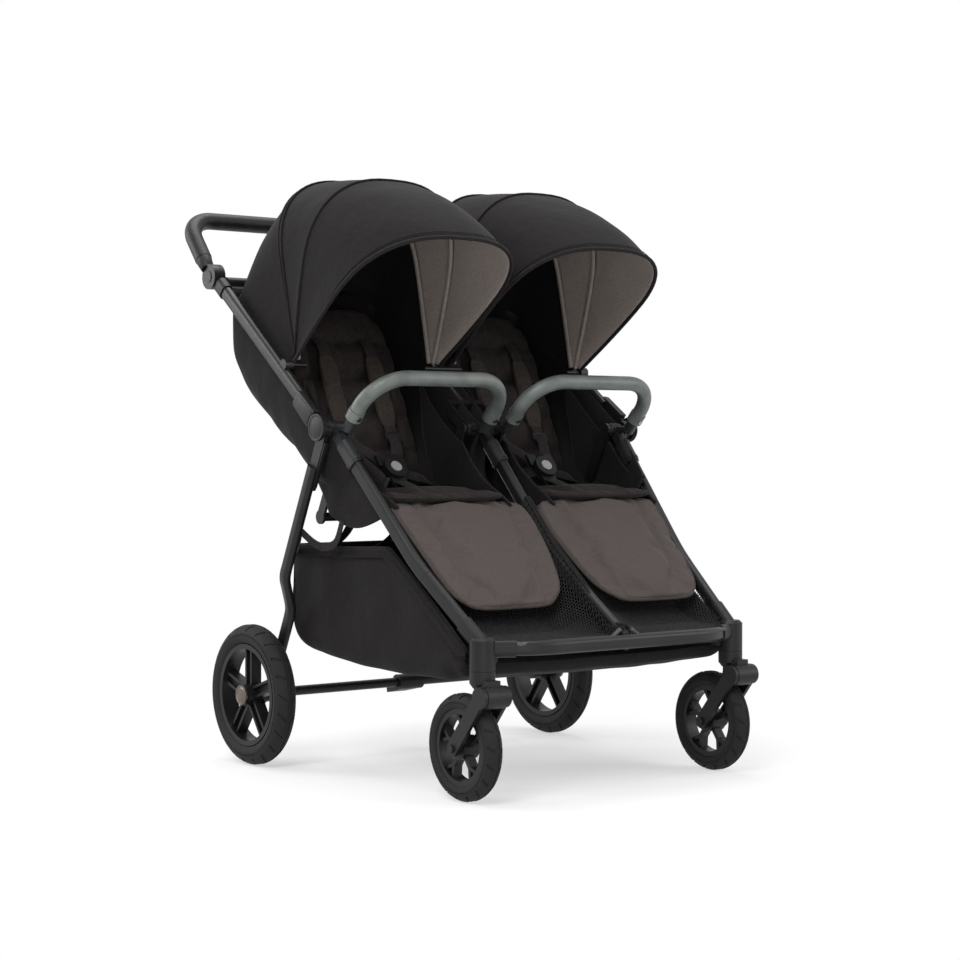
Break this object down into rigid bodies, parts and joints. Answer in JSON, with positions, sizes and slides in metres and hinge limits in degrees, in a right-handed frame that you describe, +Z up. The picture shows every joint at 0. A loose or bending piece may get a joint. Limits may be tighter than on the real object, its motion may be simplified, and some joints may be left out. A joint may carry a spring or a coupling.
{
  "type": "double stroller",
  "caption": "Folding side by side stroller with reclining seats, split canopies, bumper bars, swivel front casters, a fabric basket and a tilting push bar.",
  "frame": {"origin": "middle of the floor rectangle under the stroller, at floor height", "axes": "+X to the pusher's left, -Y forwards, +Z up"},
  "size_m": [0.7522, 0.917, 1.095],
  "materials": {
    "graphite_frame": "satin powder coat",
    "black_plastic": "moulded, fine grain",
    "grey_plastic": "moulded, satin",
    "tyre_rubber": "foam rubber",
    "black_cloth": "plain weave polyester",
    "taupe_cloth": "melange weave, padded",
    "black_mesh": "open honeycomb net",
    "dark_leatherette": "grained leatherette",
    "steel_button": "brushed"
  },
  "bodies": {
    "chassis": {"front_leg_left": "graphite_frame", "front_leg_right": "graphite_frame", "centre_tube": "graphite_frame", "front_bar": "graphite_frame", "corner_posts": "black_plastic", "side_hubs": "grey_plastic", "centre_hub": "grey_plastic", "hinge_pins": "black_plastic", "seat_tubes": "graphite_frame", "seat_brackets": "graphite_frame", "seat_pads": "black_cloth", "footrests": "black_mesh", "basket": "black_cloth", "basket_straps": "black_cloth", "harness_buckles": "black_plastic", "seat_tub_left": "black_cloth", "seat_tub_right": "black_cloth"},
    "upper_frame": {"upper_tube_left": "graphite_frame", "upper_tube_right": "graphite_frame", "upper_centre_tube": "graphite_frame", "upper_cross_tube": "graphite_frame", "handle_housings": "black_plastic", "canopy_rear_left": "black_cloth", "canopy_rear_right": "black_cloth"},
    "handlebar": {"handle_tube": "graphite_frame", "handle_grip": "dark_leatherette"},
    "rear_legs": {"rear_leg_left": "graphite_frame", "rear_leg_right": "graphite_frame", "rear_axle": "graphite_frame"},
    "brake_pedal": {"brake_pedal": "black_plastic"},
    "handle_button_left": {"handle_button_left": "grey_plastic"},
    "rear_wheel_left": {"rear_tyre_left": "tyre_rubber", "rear_rim_left": "black_plastic"},
    "caster_left": {"caster_left": "black_plastic"},
    "fork_left": {"fork_left": "black_plastic"},
    "front_wheel_left": {"front_tyre_left": "tyre_rubber", "front_rim_left": "black_plastic"},
    "swivel_lock_left": {"swivel_lock_left": "grey_plastic"},
    "bumper_left": {"bumper_left": "dark_leatherette"},
    "bumper_buttons_left": {"bumper_buttons_left": "steel_button"},
    "calf_rest_left": {"calf_rest_left": "taupe_cloth"},
    "backrest_left": {"backrest_left": "black_cloth"},
    "canopy_mid_left": {"canopy_mid_left": "black_cloth"},
    "canopy_front_left": {"canopy_front_left": "black_cloth"},
    "buckle_button_left": {"buckle_button_left": "grey_plastic"},
    "handle_button_right": {"handle_button_right": "grey_plastic"},
    "rear_wheel_right": {"rear_tyre_right": "tyre_rubber", "rear_rim_right": "black_plastic"},
    "caster_right": {"caster_right": "black_plastic"},
    "fork_right": {"fork_right": "black_plastic"},
    "front_wheel_right": {"front_tyre_right": "tyre_rubber", "front_rim_right": "black_plastic"},
    "swivel_lock_right": {"swivel_lock_right": "grey_plastic"},
    "bumper_right": {"bumper_right": "dark_leatherette"},
    "bumper_buttons_right": {"bumper_buttons_right": "steel_button"},
    "calf_rest_right": {"calf_rest_right": "taupe_cloth"},
    "backrest_right": {"backrest_right": "black_cloth"},
    "canopy_mid_right": {"canopy_mid_right": "black_cloth"},
    "canopy_front_right": {"canopy_front_right": "black_cloth"},
    "buckle_button_right": {"buckle_button_right": "grey_plastic"}
  },
  "joints": [
    {"name": "frame_fold", "type": "hinge", "parent": "chassis", "child": "upper_frame", "pos_m": [0, -0.03339, 0.622], "axis": [1, 0, 0], "range_deg": [-120, 0], "deforming": ["basket", "seat_tub_left", "seat_tub_right"]},
    {"name": "rear_leg_fold", "type": "hinge", "parent": "chassis", "child": "rear_legs", "pos_m": [0, -0.03339, 0.622], "axis": [1, 0, 0], "range_deg": [-40, 0]},
    {"name": "handle_tilt", "type": "hinge", "parent": "upper_frame", "child": "handlebar", "pos_m": [0, 0.34345, 0.91116], "axis": [1, 0, 0], "range_deg": [-35, 40]},
    {"name": "brake_press", "type": "hinge", "parent": "rear_legs", "child": "brake_pedal", "pos_m": [0, 0.20261, 0.13], "axis": [-1, 0, 0], "range_deg": [0, 25]},
    {"name": "handle_button_left_press", "type": "slide", "parent": "handlebar", "child": "handle_button_left", "axis": [-1, 0, 0], "range_m": [0, 0.003], "stiffness_N_per_m": 900, "springref_m": -0.002},
    {"name": "rear_wheel_left_spin", "type": "hinge", "parent": "rear_legs", "child": "rear_wheel_left", "pos_m": [0.352, 0.20261, 0.13], "axis": [1, 0, 0], "continuous": true},
    {"name": "caster_left_swivel", "type": "hinge", "parent": "chassis", "child": "caster_left", "pos_m": [0.281, -0.40539, 0.24], "axis": [0, 0, 1], "continuous": true},
    {"name": "fork_left_travel", "type": "hinge", "parent": "caster_left", "child": "fork_left", "pos_m": [0.281, -0.43139, 0.18], "axis": [1, 0, 0], "range_deg": [0, 10], "stiffness_Nm_per_rad": 60, "springref_deg": -6.88},
    {"name": "front_wheel_left_spin", "type": "hinge", "parent": "fork_left", "child": "front_wheel_left", "pos_m": [0.281, -0.35839, 0.0905], "axis": [1, 0, 0], "continuous": true},
    {"name": "swivel_lock_left_slide", "type": "slide", "parent": "chassis", "child": "swivel_lock_left", "axis": [0, 0, -1], "range_m": [0, 0.006]},
    {"name": "bumper_left_pull", "type": "slide", "parent": "chassis", "child": "bumper_left", "axis": [0, -0.682, 0.7314], "range_m": [0, 0.045]},
    {"name": "bumper_buttons_left_press", "type": "slide", "parent": "bumper_left", "child": "bumper_buttons_left", "axis": [0, 0.7314, 0.682], "range_m": [0, 0.0025], "stiffness_N_per_m": 900, "springref_m": -0.002},
    {"name": "calf_rest_left_tilt", "type": "hinge", "parent": "chassis", "child": "calf_rest_left", "pos_m": [0, -0.17039, 0.47353], "axis": [-1, 0, 0], "range_deg": [0, 40]},
    {"name": "backrest_left_recline", "type": "hinge", "parent": "chassis", "child": "backrest_left", "pos_m": [0, 0.04661, 0.462], "axis": [-1, 0, 0], "range_deg": [0, 28], "deforming": ["seat_tub_left"]},
    {"name": "canopy_mid_left_fold", "type": "hinge", "parent": "upper_frame", "child": "canopy_mid_left", "pos_m": [0, 0.09015, 0.73697], "axis": [-1, 0, 0], "range_deg": [0, 24]},
    {"name": "canopy_front_left_fold", "type": "hinge", "parent": "canopy_mid_left", "child": "canopy_front_left", "pos_m": [0, 0.09015, 0.73697], "axis": [-1, 0, 0], "range_deg": [0, 34]},
    {"name": "buckle_button_left_press", "type": "slide", "parent": "chassis", "child": "buckle_button_left", "axis": [0, 0.766, -0.6428], "range_m": [0, 0.003], "stiffness_N_per_m": 900, "springref_m": -0.002},
    {"name": "handle_button_right_press", "type": "slide", "parent": "handlebar", "child": "handle_button_right", "axis": [1, 0, 0], "range_m": [0, 0.003], "stiffness_N_per_m": 900, "springref_m": -0.002},
    {"name": "rear_wheel_right_spin", "type": "hinge", "parent": "rear_legs", "child": "rear_wheel_right", "pos_m": [-0.352, 0.20261, 0.13], "axis": [1, 0, 0], "continuous": true},
    {"name": "caster_right_swivel", "type": "hinge", "parent": "chassis", "child": "caster_right", "pos_m": [-0.281, -0.40539, 0.24], "axis": [0, 0, 1], "continuous": true},
    {"name": "fork_right_travel", "type": "hinge", "parent": "caster_right", "child": "fork_right", "pos_m": [-0.281, -0.43139, 0.18], "axis": [1, 0, 0], "range_deg": [0, 10], "stiffness_Nm_per_rad": 60, "springref_deg": -6.88},
    {"name": "front_wheel_right_spin", "type": "hinge", "parent": "fork_right", "child": "front_wheel_right", "pos_m": [-0.281, -0.35839, 0.0905], "axis": [1, 0, 0], "continuous": true},
    {"name": "swivel_lock_right_slide", "type": "slide", "parent": "chassis", "child": "swivel_lock_right", "axis": [0, 0, -1], "range_m": [0, 0.006]},
    {"name": "bumper_right_pull", "type": "slide", "parent": "chassis", "child": "bumper_right", "axis": [0, -0.682, 0.7314], "range_m": [0, 0.045]},
    {"name": "bumper_buttons_right_press", "type": "slide", "parent": "bumper_right", "child": "bumper_buttons_right", "axis": [0, 0.7314, 0.682], "range_m": [0, 0.0025], "stiffness_N_per_m": 900, "springref_m": -0.002},
    {"name": "calf_rest_right_tilt", "type": "hinge", "parent": "chassis", "child": "calf_rest_right", "pos_m": [0, -0.17039, 0.47353], "axis": [-1, 0, 0], "range_deg": [0, 40]},
    {"name": "backrest_right_recline", "type": "hinge", "parent": "chassis", "child": "backrest_right", "pos_m": [0, 0.04661, 0.462], "axis": [-1, 0, 0], "range_deg": [0, 28], "deforming": ["seat_tub_right"]},
    {"name": "canopy_mid_right_fold", "type": "hinge", "parent": "upper_frame", "child": "canopy_mid_right", "pos_m": [0, 0.09015, 0.73697], "axis": [-1, 0, 0], "range_deg": [0, 24]},
    {"name": "canopy_front_right_fold", "type": "hinge", "parent": "canopy_mid_right", "child": "canopy_front_right", "pos_m": [0, 0.09015, 0.73697], "axis": [-1, 0, 0], "range_deg": [0, 34]},
    {"name": "buckle_button_right_press", "type": "slide", "parent": "chassis", "child": "buckle_button_right", "axis": [0, 0.766, -0.6428], "range_m": [0, 0.003], "stiffness_N_per_m": 900, "springref_m": -0.002}
  ],
  "couplings": [
    {"joint": "rear_leg_fold", "follows": "frame_fold", "ratio": 0.33333},
    {"joint": "canopy_front_left_fold", "follows": "canopy_mid_left_fold", "ratio": 1.4167},
    {"joint": "canopy_front_right_fold", "follows": "canopy_mid_right_fold", "ratio": 1.4167}
  ]
}
